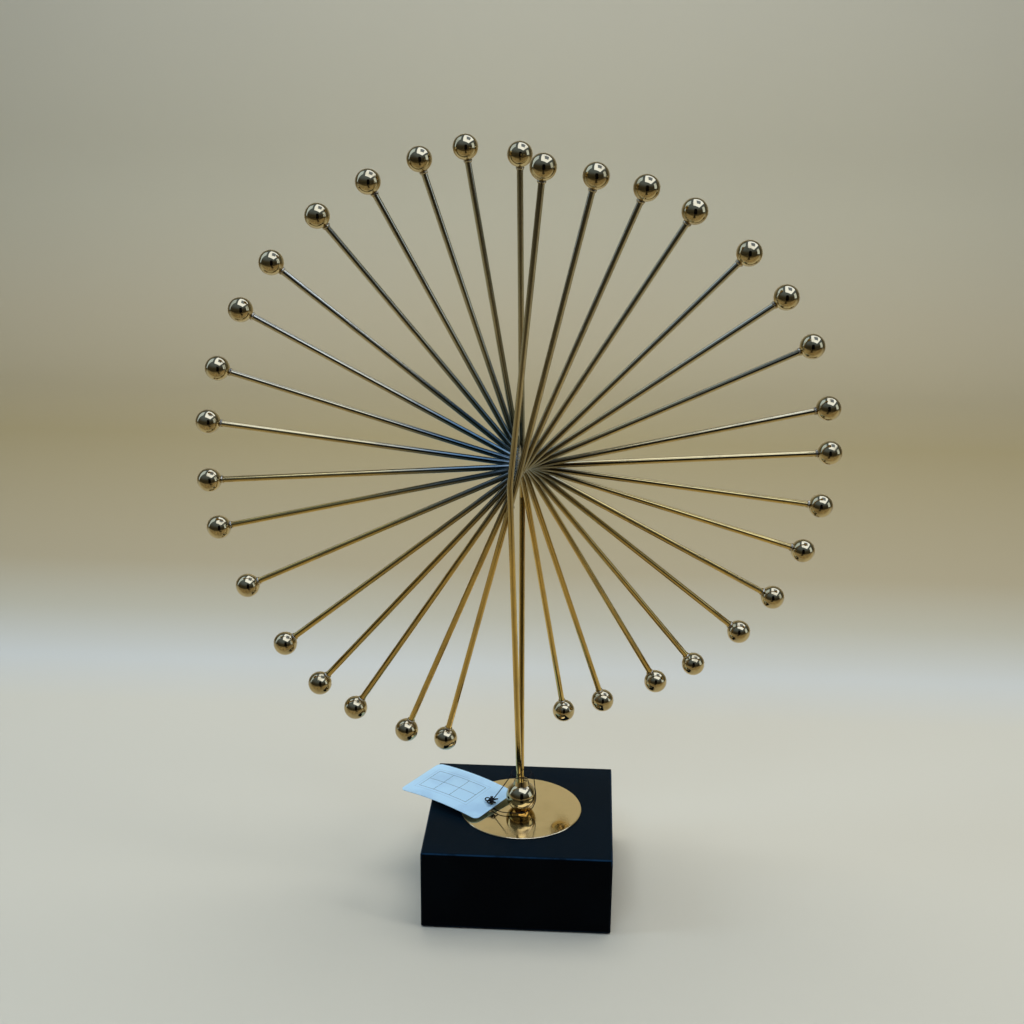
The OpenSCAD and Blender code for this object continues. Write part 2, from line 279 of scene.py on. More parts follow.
def use_group(tree, group, **values):
    """Places a group in a material with its own values; an underscore stands for a space."""
    made = tree.nodes.new("ShaderNodeGroup")
    made.node_tree = group
    for name, value in values.items():
        socket = made.inputs[name.replace("_", " ")]
        if isinstance(value, bpy.types.NodeSocket):
            tree.links.new(value, socket)
        else:
            socket.default_value = value
    return made


# %% [markdown]
# ## Effects that several finishes share
# Tarnish, fine hairlines from polishing, dust, edge wear with painted edge highlights, and painted blue
# reflection and shade near the hub show on more than one metal or paint. Each is built once as a group,
# with its size and strength as inputs.

# %% Tarnish in soft patches
tarnish, g_in, g_out = new_group(
    "tarnish",
    [("Bright", "Color", (0.8, 0.7, 0.5, 1)), ("Dull", "Color", (0.4, 0.3, 0.2, 1)), ("Scale", "Float", 60.0),
     ("Amount", "Float", 0.5)],
    [("Color", "Color"), ("Mask", "Float")],
)
clouds = put(
    tarnish, "TexNoise", {"Vector": place_of(tarnish), "Scale": g_in.outputs["Scale"], "Detail": 5.0}
)
cloudy = smooth_range(tarnish, clouds.outputs["Fac"], 0.45, 0.72)
patches = calc(tarnish, "MULTIPLY", cloudy, g_in.outputs["Amount"])
tone = blend_colour(tarnish, patches, g_in.outputs["Bright"], g_in.outputs["Dull"])
tarnish.links.new(tone, g_out.inputs["Color"])
tarnish.links.new(patches, g_out.inputs["Mask"])

# %% Hairlines from polishing
hairlines, g_in, g_out = new_group(
    "hairlines",
    [("Scale", "Float", 400.0), ("Stretch", "Vector", (1.0, 1.0, 0.05))],
    [("Height", "Float")],
)
long_way = put(
    hairlines, "VectorMath", {0: place_of(hairlines), 1: g_in.outputs["Stretch"]}, operation="MULTIPLY"
)
lines = put(
    hairlines, "TexNoise", {"Vector": long_way.outputs[0], "Scale": g_in.outputs["Scale"], "Detail": 3.0}
)
hairlines.links.new(lines.outputs["Fac"], g_out.inputs["Height"])

# %% Dust on what faces up
dust, g_in, g_out = new_group(
    "dust", [("Scale", "Float", 900.0), ("Amount", "Float", 0.3)], [("Mask", "Float")]
)
upward = smooth_range(dust, facing_up(dust), 0.55, 0.95)
specks = put(dust, "TexNoise", {"Vector": place_of(dust), "Scale": g_in.outputs["Scale"], "Detail": 2.0})
grains = smooth_range(dust, specks.outputs["Fac"], 0.6, 0.72)
settled = calc(dust, "MULTIPLY", calc(dust, "MULTIPLY", upward, grains), g_in.outputs["Amount"])
dust.links.new(settled, g_out.inputs["Mask"])

# %% [markdown]
# The edges of a square block, where it shows wear and where a highlight is painted, can be found by
# arithmetic. Of a surface point's three distances to the faces of the block's box, the least is about
# nought, and the middle one is its distance to an edge.

# %% Edges of a square block, for wear and for a painted highlight
edge_wear_and_highlight, g_in, g_out = new_group(
    "edge_wear_and_highlight",
    [("Low", "Vector", (0.0, 0.0, 0.0)), ("High", "Vector", (1.0, 1.0, 1.0)), ("Width", "Float", 0.002)],
    [("Mask", "Float")],
)
here = place_of(edge_wear_and_highlight)
from_low = put(edge_wear_and_highlight, "VectorMath", {0: here, 1: g_in.outputs["Low"]}, operation="SUBTRACT").outputs[0]
from_high = put(edge_wear_and_highlight, "VectorMath", {0: g_in.outputs["High"], 1: here}, operation="SUBTRACT").outputs[0]
nearest = put(edge_wear_and_highlight, "VectorMath", {0: from_low, 1: from_high}, operation="MINIMUM").outputs[0]
x, y, z = put(edge_wear_and_highlight, "SeparateXYZ", {0: nearest}).outputs
least = calc(edge_wear_and_highlight, "MINIMUM", calc(edge_wear_and_highlight, "MINIMUM", x, y), z)
most = calc(edge_wear_and_highlight, "MAXIMUM", calc(edge_wear_and_highlight, "MAXIMUM", x, y), z)
total = calc(edge_wear_and_highlight, "ADD", calc(edge_wear_and_highlight, "ADD", x, y), z)
middle = calc(edge_wear_and_highlight, "SUBTRACT", calc(edge_wear_and_highlight, "SUBTRACT", total, least), most)
from_edge = calc(edge_wear_and_highlight, "DIVIDE", middle, g_in.outputs["Width"])
closeness = calc(edge_wear_and_highlight, "SUBTRACT", 1.0, from_edge, clamp=True)
edge_breakup = put(edge_wear_and_highlight, "TexNoise", {"Vector": here, "Scale": 90.0, "Detail": 4.0}).outputs["Fac"]
edge_wear_and_highlight_mask = calc(edge_wear_and_highlight, "MULTIPLY", closeness, smooth_range(edge_wear_and_highlight, edge_breakup, 0.25, 0.6))
edge_wear_and_highlight.links.new(edge_wear_and_highlight_mask, g_out.inputs["Mask"])

# %% Painted blue reflection and shade round the hub
painted_hub_light, g_in, g_out = new_group(
    "painted_hub_light", [("Centre", "Vector", (0.0, 0.0, 0.3)), ("Reach", "Float", 0.05)], [("Mask", "Float")]
)
away = put(painted_hub_light, "VectorMath", {0: place_of(painted_hub_light), 1: g_in.outputs["Centre"]}, operation="DISTANCE")
share = calc(painted_hub_light, "DIVIDE", away.outputs["Value"], g_in.outputs["Reach"])
painted_hub_light.links.new(smooth_range(painted_hub_light, share, 1.0, 0.1), g_out.inputs["Mask"])
print("groups", [g.name for g in bpy.data.node_groups])


# %% [markdown]
# ## Brass rods
# The rods are drawn brass, polished but not to a mirror. They are most golden low down and paler above.
# Blue reflection is painted on them on the left of the hub, and shade on the right, where they crowd.
# Metal needs Metallic at 1 and its colour in Base Color; the rest is roughness and a faint bump.


# %% Start a finish
def new_finish(name, **values):
    """A material with its Principled shader, and plain values set straight on the shader's sockets."""
    material = bpy.data.materials.new(name)
    material.use_nodes = True
    shader = material.node_tree.nodes["Principled BSDF"]
    for socket, value in values.items():
        shader.inputs[socket.replace("_", " ")].default_value = value
    return material, material.node_tree, shader


def add_bump(tree, shader, height, strength, depth):
    """Raises the surface by a height that varies over it."""
    bump = put(tree, "Bump", {"Height": height, "Strength": strength, "Distance": depth})
    tree.links.new(bump.outputs[0], shader.inputs["Normal"])


# %% Rod brass
hub_low, hub_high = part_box("hub_braze")
HUB = (hub_low + hub_high) / 2
GOLD, PALE_GOLD, OLD_GOLD = (0.66, 0.45, 0.13, 1), (0.52, 0.46, 0.29, 1), (0.32, 0.25, 0.13, 1)
PAINTED_BLUE, PAINTED_HUB_SHADE = (0.05, 0.11, 0.13, 1), (0.20, 0.16, 0.08, 1)

rod_brass, tree, shader = new_finish("rod_brass", Metallic=1.0)
upness = smooth_range(tree, place_z(tree), HUB.z - 0.05, HUB.z + 0.12)
polished = blend_colour(tree, upness, GOLD, PALE_GOLD)
aged = use_group(tree, tarnish, Bright=polished, Dull=OLD_GOLD, Scale=70.0, Amount=0.3)
# painted shade: the rods are darkened on the right of the hub, where they crowd
hub_shade_mask = use_group(tree, painted_hub_light, Centre=HUB + Vector((0.012, 0, 0)), Reach=0.06)
hub_shaded = blend_colour(tree, calc(tree, "MULTIPLY", hub_shade_mask.outputs[0], 0.75), aged.outputs["Color"], PAINTED_HUB_SHADE)
# painted reflection: the rods are tinted blue on the left of the hub
blue_reflection = use_group(tree, painted_hub_light, Centre=HUB + Vector((-0.03, 0.01, 0.014)), Reach=0.085)
tree.links.new(
    blend_colour(tree, calc(tree, "MULTIPLY", blue_reflection.outputs[0], 0.95), hub_shaded, PAINTED_BLUE),
    shader.inputs["Base Color"],
)
tree.links.new(smooth_range(tree, aged.outputs["Mask"], 0.0, 0.3, 0.11, 0.24), shader.inputs["Roughness"])
add_bump(tree, shader, use_group(tree, hairlines, Scale=700.0, Stretch=(1, 1, 0.3)).outputs[0], 0.03, 0.0002)

# %% [markdown]
# The balls are solid, polished bright and plated a pale champagne gold, so they mirror the room. The
# stand ball has the same finish. Only a trace of haze and a little dust keep them from looking like glass.

# %% Ball brass
ball_brass, tree, shader = new_finish("ball_brass", Metallic=1.0)
haze = use_group(
    tree, tarnish, Bright=(0.55, 0.42, 0.20, 1), Dull=(0.33, 0.23, 0.09, 1), Scale=140.0, Amount=0.6
)
specks = use_group(tree, dust, Scale=2500.0, Amount=0.25)
dusted = blend_colour(tree, specks.outputs[0], haze.outputs["Color"], (0.7, 0.68, 0.62, 1))
tree.links.new(dusted, shader.inputs["Base Color"])
tree.links.new(smooth_range(tree, haze.outputs["Mask"], 0.0, 0.5, 0.045, 0.16), shader.inputs["Roughness"])
add_bump(tree, shader, use_group(tree, hairlines, Scale=300.0, Stretch=(1, 1, 1)).outputs[0], 0.03, 0.0003)

# %% [markdown]
# Braze is the brass alloy that was melted into the joints. It is duller and lumpier than the rods, with
# small pits and a smoky skin, because nobody can polish between the rods.

# %% Braze
braze, tree, shader = new_finish("braze", Metallic=1.0)
skin = use_group(
    tree, tarnish, Bright=(0.62, 0.52, 0.32, 1), Dull=(0.12, 0.1, 0.08, 1), Scale=450.0, Amount=0.9
)
# painted reflection: the braze is tinted the same blue on the left of the hub
blue_reflection = use_group(tree, painted_hub_light, Centre=HUB + Vector((-0.02, 0, 0.005)), Reach=0.04)
tree.links.new(
    blend_colour(tree, calc(tree, "MULTIPLY", blue_reflection.outputs[0], 0.7), skin.outputs["Color"], PAINTED_BLUE),
    shader.inputs["Base Color"],
)
tree.links.new(smooth_range(tree, skin.outputs["Mask"], 0.0, 0.9, 0.25, 0.6), shader.inputs["Roughness"])
pits = put(tree, "TexNoise", {"Vector": place_of(tree), "Scale": 900.0, "Detail": 3.0}).outputs["Fac"]
add_bump(tree, shader, pits, 0.5, 0.0004)

# %% [markdown]
# The plate is a thin polished disc of rose-gold sheet. It mirrors the ball and the card, a little
# wavily, and it carries smudges where fingers set the sculpture down, and a few dull specks.

# %% Plate finish
plate_gold, tree, shader = new_finish("plate_gold", Metallic=1.0)
smudge = use_group(
    tree, tarnish, Bright=(0.92, 0.70, 0.36, 1), Dull=(0.76, 0.56, 0.27, 1), Scale=38.0, Amount=0.55
)
specks = use_group(tree, dust, Scale=1500.0, Amount=0.35)
tree.links.new(
    blend_colour(tree, specks.outputs[0], smudge.outputs["Color"], (0.72, 0.66, 0.55, 1)),
    shader.inputs["Base Color"],
)
smears = put(
    tree, "TexNoise", {"Vector": place_of(tree), "Scale": 75.0, "Detail": 6.0, "Roughness": 0.7}
).outputs["Fac"]
tree.links.new(smooth_range(tree, smears, 0.4, 0.75, 0.06, 0.2), shader.inputs["Roughness"])
wave = put(tree, "TexNoise", {"Vector": place_of(tree), "Scale": 60.0, "Detail": 1.0}).outputs["Fac"]
add_bump(tree, shader, wave, 0.12, 0.0005)

# %% [markdown]
# ## Black lacquer, felt and steel
# The block is painted in satin black lacquer. Its index of refraction is set low, so that it mirrors very
# little. A cold, bluish sheen is painted on its top and a blue highlight along its upper edges, and dust
# settles on top.

# %% Black lacquer
block_low, block_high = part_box("base_block")
lacquer, tree, shader = new_finish("black_lacquer", IOR=1.09)
paint = use_group(
    tree, tarnish,
    Bright=(0.0008, 0.0016, 0.0028, 1), Dull=(0.0013, 0.0028, 0.0045, 1), Scale=26.0, Amount=0.8,
)
# painted highlight: a blue line along the upper edges, strongest at the top
edge_wear_and_highlight_mask = use_group(tree, edge_wear_and_highlight, Low=block_low, High=block_high, Width=0.0011)
near_top = smooth_range(tree, place_z(tree), block_high.z - 0.006, block_high.z - 0.002, 0.1, 1.0)
blue_edge_highlight = blend_colour(
    tree, calc(tree, "MULTIPLY", edge_wear_and_highlight_mask.outputs[0], near_top), paint.outputs["Color"], (0.02, 0.085, 0.20, 1)
)
# painted sheen: a cold blue tint over the top face
top_side = smooth_range(tree, place_z(tree), block_high.z - 0.0012, block_high.z - 0.0002)
painted_top_sheen = blend_colour(tree, calc(tree, "MULTIPLY", top_side, 0.5), blue_edge_highlight, (0.003, 0.011, 0.02, 1))
specks = use_group(tree, dust, Scale=1100.0, Amount=0.03)
tree.links.new(
    blend_colour(tree, specks.outputs[0], painted_top_sheen, (0.12, 0.15, 0.18, 1)), shader.inputs["Base Color"]
)
tree.links.new(smooth_range(tree, paint.outputs["Mask"], 0.0, 0.8, 0.34, 0.46), shader.inputs["Roughness"])
orange_peel = put(tree, "TexNoise", {"Vector": place_of(tree), "Scale": 520.0, "Detail": 2.0}).outputs["Fac"]
add_bump(tree, shader, orange_peel, 0.06, 0.0003)

# %% Felt under the block
felt_low, felt_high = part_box("felt_sheet")
felt, tree, shader = new_finish("felt", Roughness=0.95, Sheen_Weight=0.35, Sheen_Roughness=0.5)
fibres = put(tree, "TexNoise", {"Vector": place_of(tree), "Scale": 1600.0, "Detail": 6.0}).outputs["Fac"]
nap = blend_colour(tree, fibres, (0.006, 0.006, 0.008, 1), (0.03, 0.03, 0.035, 1))
frayed = use_group(tree, edge_wear_and_highlight, Low=felt_low, High=felt_high, Width=0.0025)
tree.links.new(
    blend_colour(tree, frayed.outputs[0], nap, (0.06, 0.06, 0.065, 1)), shader.inputs["Base Color"]
)
add_bump(tree, shader, fibres, 0.6, 0.0006)

# %% Steel of the screw and washer
steel, tree, shader = new_finish("zinc_steel", Metallic=1.0)
zinc = use_group(
    tree, tarnish, Bright=(0.62, 0.63, 0.64, 1), Dull=(0.36, 0.35, 0.32, 1), Scale=320.0, Amount=0.7
)
tree.links.new(zinc.outputs["Color"], shader.inputs["Base Color"])
tree.links.new(smooth_range(tree, zinc.outputs["Mask"], 0.0, 0.7, 0.28, 0.5), shader.inputs["Roughness"])
add_bump(tree, shader, use_group(tree, hairlines, Scale=900.0, Stretch=(1, 1, 0.1)).outputs[0], 0.15, 0.0002)

# %% [markdown]
# ## The card
# The card is pale blue coated board with a ruled table of two rows and three columns, left blank here.
# A Mapping node of the Texture kind undoes the card's place and turn, so that x runs along the card and
# y across it, and each ruled line is a thin band of x or y.

# %% Card finish
TABLE_X = (-24.7, -12.2, 1.4, 15.6)
TABLE_Y = (-10.3, 0.8, 11.9)
RULE_W = 0.3
FRAME_GAP = 2.3


def ruled_line(tree, along, across, at, start, end, width):
    """1 on a thin line where one coordinate is at a value, between two ends of the other."""
    near = calc(tree, "COMPARE", along, at * MM)
    near.node.inputs[2].default_value = width / 2 * MM
    inside = calc(tree, "COMPARE", across, (start + end) / 2 * MM)
    inside.node.inputs[2].default_value = (abs(end - start) + width) / 2 * MM
    return calc(tree, "MULTIPLY", near, inside)


def ruled_table(tree, cx, cy, xs, ys, width):
    """1 on every line of a table."""
    mask = 0.0
    for at in xs:
        mask = calc(tree, "MAXIMUM", mask, ruled_line(tree, cx, cy, at, ys[0], ys[-1], width))
    for at in ys:
        mask = calc(tree, "MAXIMUM", mask, ruled_line(tree, cy, cx, at, xs[0], xs[-1], width))
    return mask


card, tree, shader = new_finish("card", Specular_IOR_Level=0.4, Sheen_Weight=0.05)
flat = put(
    tree, "Mapping", {0: place_of(tree), 1: CARD_PLACE, 2: CARD_TURN}, vector_type="TEXTURE"
).outputs[0]
cx, cy = put(tree, "SeparateXYZ", {0: flat}).outputs[:2]
fibre = put(tree, "TexNoise", {"Vector": flat, "Scale": 1400.0, "Detail": 5.0}).outputs["Fac"]
paper = blend_colour(tree, fibre, (0.43, 0.69, 0.96, 1), (0.48, 0.75, 0.98, 1))
handled = use_group(tree, tarnish, Bright=paper, Dull=(0.31, 0.52, 0.78, 1), Scale=55.0, Amount=0.5)
table_lines = ruled_table(tree, cx, cy, TABLE_X, TABLE_Y, RULE_W)
outer_x = (TABLE_X[0] - FRAME_GAP, TABLE_X[-1] + FRAME_GAP)
outer_y = (TABLE_Y[0] - FRAME_GAP, TABLE_Y[-1] + FRAME_GAP)
faint_lines = calc(tree, "MULTIPLY", ruled_table(tree, cx, cy, outer_x, outer_y, RULE_W), 0.3)
printed_side = smooth_range(tree, facing_up(tree), 0.2, 0.5)
ink = calc(tree, "MULTIPLY", calc(tree, "MAXIMUM", table_lines, faint_lines), printed_side)
tree.links.new(
    blend_colour(tree, ink, handled.outputs["Color"], (0.03, 0.07, 0.16, 1)), shader.inputs["Base Color"]
)
tree.links.new(smooth_range(tree, fibre, 0.3, 0.7, 0.42, 0.58), shader.inputs["Roughness"])
add_bump(tree, shader, fibre, 0.12, 0.0002)

# %% Thread finish
cotton, tree, shader = new_finish("cotton_thread", Roughness=0.9, Specular_IOR_Level=0.2, Sheen_Weight=0.04)
ply = put(tree, "TexWave", {"Vector": place_of(tree), "Scale": 900.0, "Distortion": 2.0, "Detail": 1.0},
          bands_direction="DIAGONAL").outputs["Fac"]
tree.links.new(
    blend_colour(tree, ply, (0.002, 0.002, 0.003, 1), (0.012, 0.012, 0.014, 1)), shader.inputs["Base Color"]
)
add_bump(tree, shader, ply, 0.4, 0.0001)
print("finishes", [m.name for m in bpy.data.materials if m.users or m.use_nodes])

# %% [markdown]
# ## Dress the solid model
# Each node of the solid model has a slot name that says what it is made of. The node keeps its mesh and
# takes the finish of that name.

# %% Put the finishes on
FINISHES = {
    "rod_brass": rod_brass, "ball_brass": ball_brass, "braze": braze, "mirror_plate": plate_gold,
    "black_lacquer": lacquer, "felt": felt, "steel": steel, "card": card, "thread": cotton,
}
for name, node in nodes.items():
    for place in node.material_slots:
        place.material = FINISHES[place.material.name]
for piece in (thread, knot):
    piece.data.materials.clear()
    piece.data.materials.append(cotton)
print("dressed", len(nodes), "nodes")

# %% [markdown]
# ## The plate with its rolled rim
# The plate is a stamped disc with a softly rolled rim that catches the light. It starts as a short
# cylinder. Its rims are bevelled, its two faces are inset to the screw hole and taken out, and the two
# round openings are bridged, so that the disc is one closed ring.


# %% Edit helpers
def start_edit(mode):
    """Edit mode with nothing selected, choosing by vertex, edge or face."""
    bpy.ops.object.mode_set(mode="EDIT")
    bpy.ops.mesh.select_mode(type=mode)
    bpy.ops.mesh.select_all(action="DESELECT")
    bpy.ops.object.mode_set(mode="OBJECT")


def settle(piece, name, finish, body, slot, *replaced):
    """Names a finished piece, applies its place, and gives it its finish and body; the slot is not used."""
    bpy.ops.object.select_all(action="DESELECT")
    piece.select_set(True)
    bpy.context.view_layer.objects.active = piece
    bpy.ops.object.transform_apply(location=True, rotation=True, scale=True)
    piece.name = name
    piece.data.materials.clear()
    piece.data.materials.append(finish)
    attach(piece, body)
    if replaced:
        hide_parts(*replaced)
    print(name, len(piece.data.polygons), "faces", [round(v / MM, 1) for v in piece.dimensions], "mm")


# %% Model the plate
plate_low, plate_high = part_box("mirror_plate")
plate_r, plate_t = (plate_high.x - plate_low.x) / 2, plate_high.z - plate_low.z
ROLL_R, RIM_FLAT, PLATE_HOLE_R = 0.45 * MM, 0.6 * MM, 2.75 * MM
PLATE_SIDES = 160
bpy.ops.object.select_all(action="DESELECT")
bpy.ops.mesh.primitive_cylinder_add(
    vertices=PLATE_SIDES, radius=plate_r, depth=plate_t, location=(plate_low + plate_high) / 2
)
plate = bpy.context.object
start_edit("EDGE")
for edge in plate.data.edges:
    a, b = (plate.data.vertices[i].co for i in edge.vertices)
    edge.select = abs(a.z - b.z) < plate_t / 10
bpy.ops.object.mode_set(mode="EDIT")
bpy.ops.mesh.bevel(offset=ROLL_R, segments=4)
start_edit("FACE")
for face in plate.data.polygons:
    face.select = len(face.vertices) == PLATE_SIDES
bpy.ops.object.mode_set(mode="EDIT")
bpy.ops.mesh.inset(thickness=RIM_FLAT)
bpy.ops.mesh.inset(thickness=plate_r - ROLL_R - RIM_FLAT - PLATE_HOLE_R)
bpy.ops.mesh.delete(type="FACE")
bpy.ops.mesh.select_mode(type="EDGE")
bpy.ops.mesh.select_all(action="DESELECT")
bpy.ops.mesh.select_non_manifold()
bpy.ops.mesh.bridge_edge_loops()
bpy.ops.mesh.select_all(action="SELECT")
bpy.ops.mesh.normals_make_consistent(inside=False)
bpy.ops.object.mode_set(mode="OBJECT")
bpy.ops.object.shade_smooth_by_angle(angle=math.radians(40))
settle(plate, "polished_plate", plate_gold, "base", "mirror_plate", "mirror_plate")

# %% [markdown]
# ## Beads of solder at the balls
# Every ball is soldered to its rod, and the solder stands round the joint as a small uneven bead. The
# balls' places come from the solid model: a sphere is fitted to each ball's points by least squares, and
# the points that lie off it are the neck, which gives the rod's direction. One bead is modelled from a
# ring, made lumpy by a Displace modifier, and copied to each neck at its own turn.


# %% Find the balls
FIT_ROUNDS, ON_BALL, OFF_BALL = 4, 0.1 * MM, 0.4 * MM


def fit_ball(points):
    """Centre and radius of the sphere that fits most of the points, and the direction of its neck."""
    kept = points
    for _ in range(FIT_ROUNDS):
        rows = np.hstack([2 * kept, np.ones((len(kept), 1))])
        solved = np.linalg.lstsq(rows, (kept**2).sum(1), rcond=None)[0]
        centre = solved[:3]
        radius = math.sqrt(solved[3] + centre @ centre)
        off = np.abs(np.linalg.norm(points - centre, axis=1) - radius)
        kept = points[off < max(ON_BALL, np.percentile(off, 60))]
    neck = points[np.linalg.norm(points - centre, axis=1) > radius + OFF_BALL]
    return Vector(centre), radius, (Vector(neck.mean(0)) - Vector(centre)).normalized()


balls = []
for name, node in nodes.items():
    if name.startswith("ball_pair") or name in ("front_ball", "back_ball"):
        points = np.array([v.co for v in node.data.vertices])
        if name.startswith("ball_pair"):
            middle = (points.max(0) + points.min(0)) / 2
            axis = np.linalg.svd(points - middle, full_matrices=False)[2][0]
            side = (points - middle) @ axis > 0
            balls += [fit_ball(points[side]), fit_ball(points[~side])]
        else:
            balls.append(fit_ball(points))
print("balls", len(balls), "radius", round(sum(b[1] for b in balls) / len(balls) / MM, 2), "mm")

# %% Model one bead and copy it to every neck
BEAD_R, BEAD_T, BEAD_STAND = 2.05 * MM, 0.5 * MM, 0.4 * MM
BEAD_TURN = 2.4
lumps = bpy.data.textures.new("solder_lumps", "CLOUDS")
lumps.noise_scale = 0.0016
bpy.ops.object.select_all(action="DESELECT")
bpy.ops.mesh.primitive_torus_add(
    major_radius=BEAD_R, minor_radius=BEAD_T, major_segments=22, minor_segments=8
)
bead = bpy.context.object
bpy.ops.object.mode_set(mode="EDIT")
bpy.ops.transform.resize(value=(1, 1, 1.5))
bpy.ops.object.mode_set(mode="OBJECT")
bead.modifiers.new("lumps", "DISPLACE").texture = lumps
bead.modifiers["lumps"].strength = 0.55 * MM
bead.modifiers["lumps"].mid_level = 0.45
bpy.ops.object.modifier_apply(modifier="lumps")
bpy.ops.object.shade_smooth()
copies = []
for i, (centre, radius, neck_way) in enumerate(balls):
    copy = bead.copy()
    copy.data = bead.data.copy()
    bpy.context.scene.collection.objects.link(copy)
    copy.matrix_world = (
        Matrix.Translation(centre + neck_way * (radius + BEAD_STAND))
        @ neck_way.to_track_quat("Z", "Y").to_matrix().to_4x4()
        @ Matrix.Rotation(i * BEAD_TURN, 4, "Z")
    )
    copies.append(copy)
bpy.data.objects.remove(bead)
bpy.ops.object.select_all(action="DESELECT")
for copy in copies:
    copy.select_set(True)
bpy.context.view_layer.objects.active = copies[0]
bpy.ops.object.join()
settle(bpy.context.object, "solder_beads", braze, "sculpture", "braze")


# %% [markdown]
# ## Lumps of braze at the hub
# Where the bent front rod crosses the hub a lump of braze froze just below its knee, and another sits
# behind at the back rod's knee. Each starts as a fine ball, is stretched along its joint and roughened by
# two Displace modifiers, a coarse one for the lumps and a fine one for the pits.


# %% Model the lumps
LUMP_FILL = 0.82


def braze_lump(name, node, turned):
    """A rough lump that fills the box of a node of braze."""
    low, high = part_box(node)
    bpy.ops.object.select_all(action="DESELECT")
    bpy.ops.mesh.primitive_ico_sphere_add(subdivisions=5, radius=1.0)
    lump = bpy.context.object
    bpy.ops.object.mode_set(mode="EDIT")
    bpy.ops.transform.resize(value=tuple((high - low) / 2 * LUMP_FILL))
    bpy.ops.object.mode_set(mode="OBJECT")
    for label, size, strength in (("lumps", 0.0022, 1.1), ("pits", 0.0007, 0.35)):
        texture = bpy.data.textures.new(f"{name}_{label}", "CLOUDS")
        texture.noise_scale = size
        modifier = lump.modifiers.new(label, "DISPLACE")
        modifier.texture = texture
        modifier.strength = strength * MM
        bpy.ops.object.modifier_apply(modifier=label)
    bpy.ops.object.shade_smooth()
    lump.location = (low + high) / 2
    lump.rotation_euler = (0, 0, turned)
    settle(lump, name, braze, "sculpture", "braze", node)


braze_lump("front_braze_lump", "front_braze", 0.0)
braze_lump("back_braze_lump", "back_braze", 1.1)

# %% [markdown]
# ## Floor, backdrop and light
# The sculpture stands on a pale table that sweeps up into a wall. The sweep is one sheet: a plane whose
# far edge is extruded upwards and whose corner is bevelled round. Its colour drifts from cool white near
# the sculpture to warm beige behind it, with a darker band between; this is partly its own tone and
# partly painted light, as it falls over the sweep. In a mirror it ends in front like a table, with a dark
# floor past its end; there its near side carries a painted golden reflection and a painted shadow of
# whoever stands there.

# %% The sweep
FLOOR_W, FLOOR_FRONT, WALL_Y, WALL_H, SWEEP_R = 16.0, -9.0, 1.75, 2.6, 0.35
TABLE_END = -0.85
SHADE_X, SHADE_W = 0.05, 0.13
AT_EDGE = 0.01
bpy.ops.object.select_all(action="DESELECT")
bpy.ops.mesh.primitive_plane_add(size=1.0)
sweep = bpy.context.object
bpy.ops.object.mode_set(mode="EDIT")
bpy.ops.transform.resize(value=(FLOOR_W, WALL_Y - FLOOR_FRONT, 1))
bpy.ops.transform.translate(value=(0, (WALL_Y + FLOOR_FRONT) / 2, 0))
start_edit("EDGE")
for edge in sweep.data.edges:
    edge.select = all(sweep.data.vertices[i].co.y > WALL_Y - AT_EDGE for i in edge.vertices)
bpy.ops.object.mode_set(mode="EDIT")
bpy.ops.mesh.extrude_region_move(TRANSFORM_OT_translate={"value": (0, 0, WALL_H)})
start_edit("EDGE")
for edge in sweep.data.edges:
    ends = [sweep.data.vertices[i].co for i in edge.vertices]
    edge.select = all(c.y > WALL_Y - AT_EDGE and c.z < AT_EDGE for c in ends)
bpy.ops.object.mode_set(mode="EDIT")
bpy.ops.mesh.bevel(offset=SWEEP_R, segments=16)
bpy.ops.object.mode_set(mode="OBJECT")
bpy.ops.object.shade_smooth()
sweep.name = "sweep"

paper_tone, tree, shader = new_finish("sweep_paper", Roughness=0.85, Specular_IOR_Level=0.2)
sx, sy, sz = put(tree, "SeparateXYZ", {0: place_of(tree)}).outputs
path = calc(tree, "ADD", sy, sz)
# partly the sweep's own tone and partly painted light: the darker band and the pale cool patch
tones = put(tree, "ValToRGB", {0: calc(tree, "DIVIDE", path, 3.0)})
SWEEP_TONES_AND_LIGHT = [
    (0.0, (0.60, 0.595, 0.535)), (0.085, (0.60, 0.60, 0.545)), (0.115, (0.565, 0.60, 0.61)),
    (0.155, (0.47, 0.465, 0.395)), (0.20, (0.42, 0.375, 0.265)), (0.37, (0.45, 0.385, 0.225)),
    (0.567, (0.62, 0.57, 0.43)), (0.66, (0.68, 0.66, 0.54)), (0.78, (0.72, 0.71, 0.62)),
]
while len(tones.color_ramp.elements) < len(SWEEP_TONES_AND_LIGHT):
    tones.color_ramp.elements.new(0.5)
for element, (at, colour) in zip(tones.color_ramp.elements, SWEEP_TONES_AND_LIGHT):
    element.position = at
    element.color = (*colour, 1)
mottle = put(tree, "TexNoise", {"Vector": place_of(tree), "Scale": 3.0, "Detail": 3.0}).outputs["Fac"]
paper = blend_colour(tree, calc(tree, "MULTIPLY", mottle, 0.06), tones.outputs[0], (0.3, 0.3, 0.28, 1))
mirrored = put(tree, "LightPath").outputs["Is Glossy Ray"]
past_table = calc(tree, "MULTIPLY", mirrored, smooth_range(tree, sy, TABLE_END + 0.3, TABLE_END))
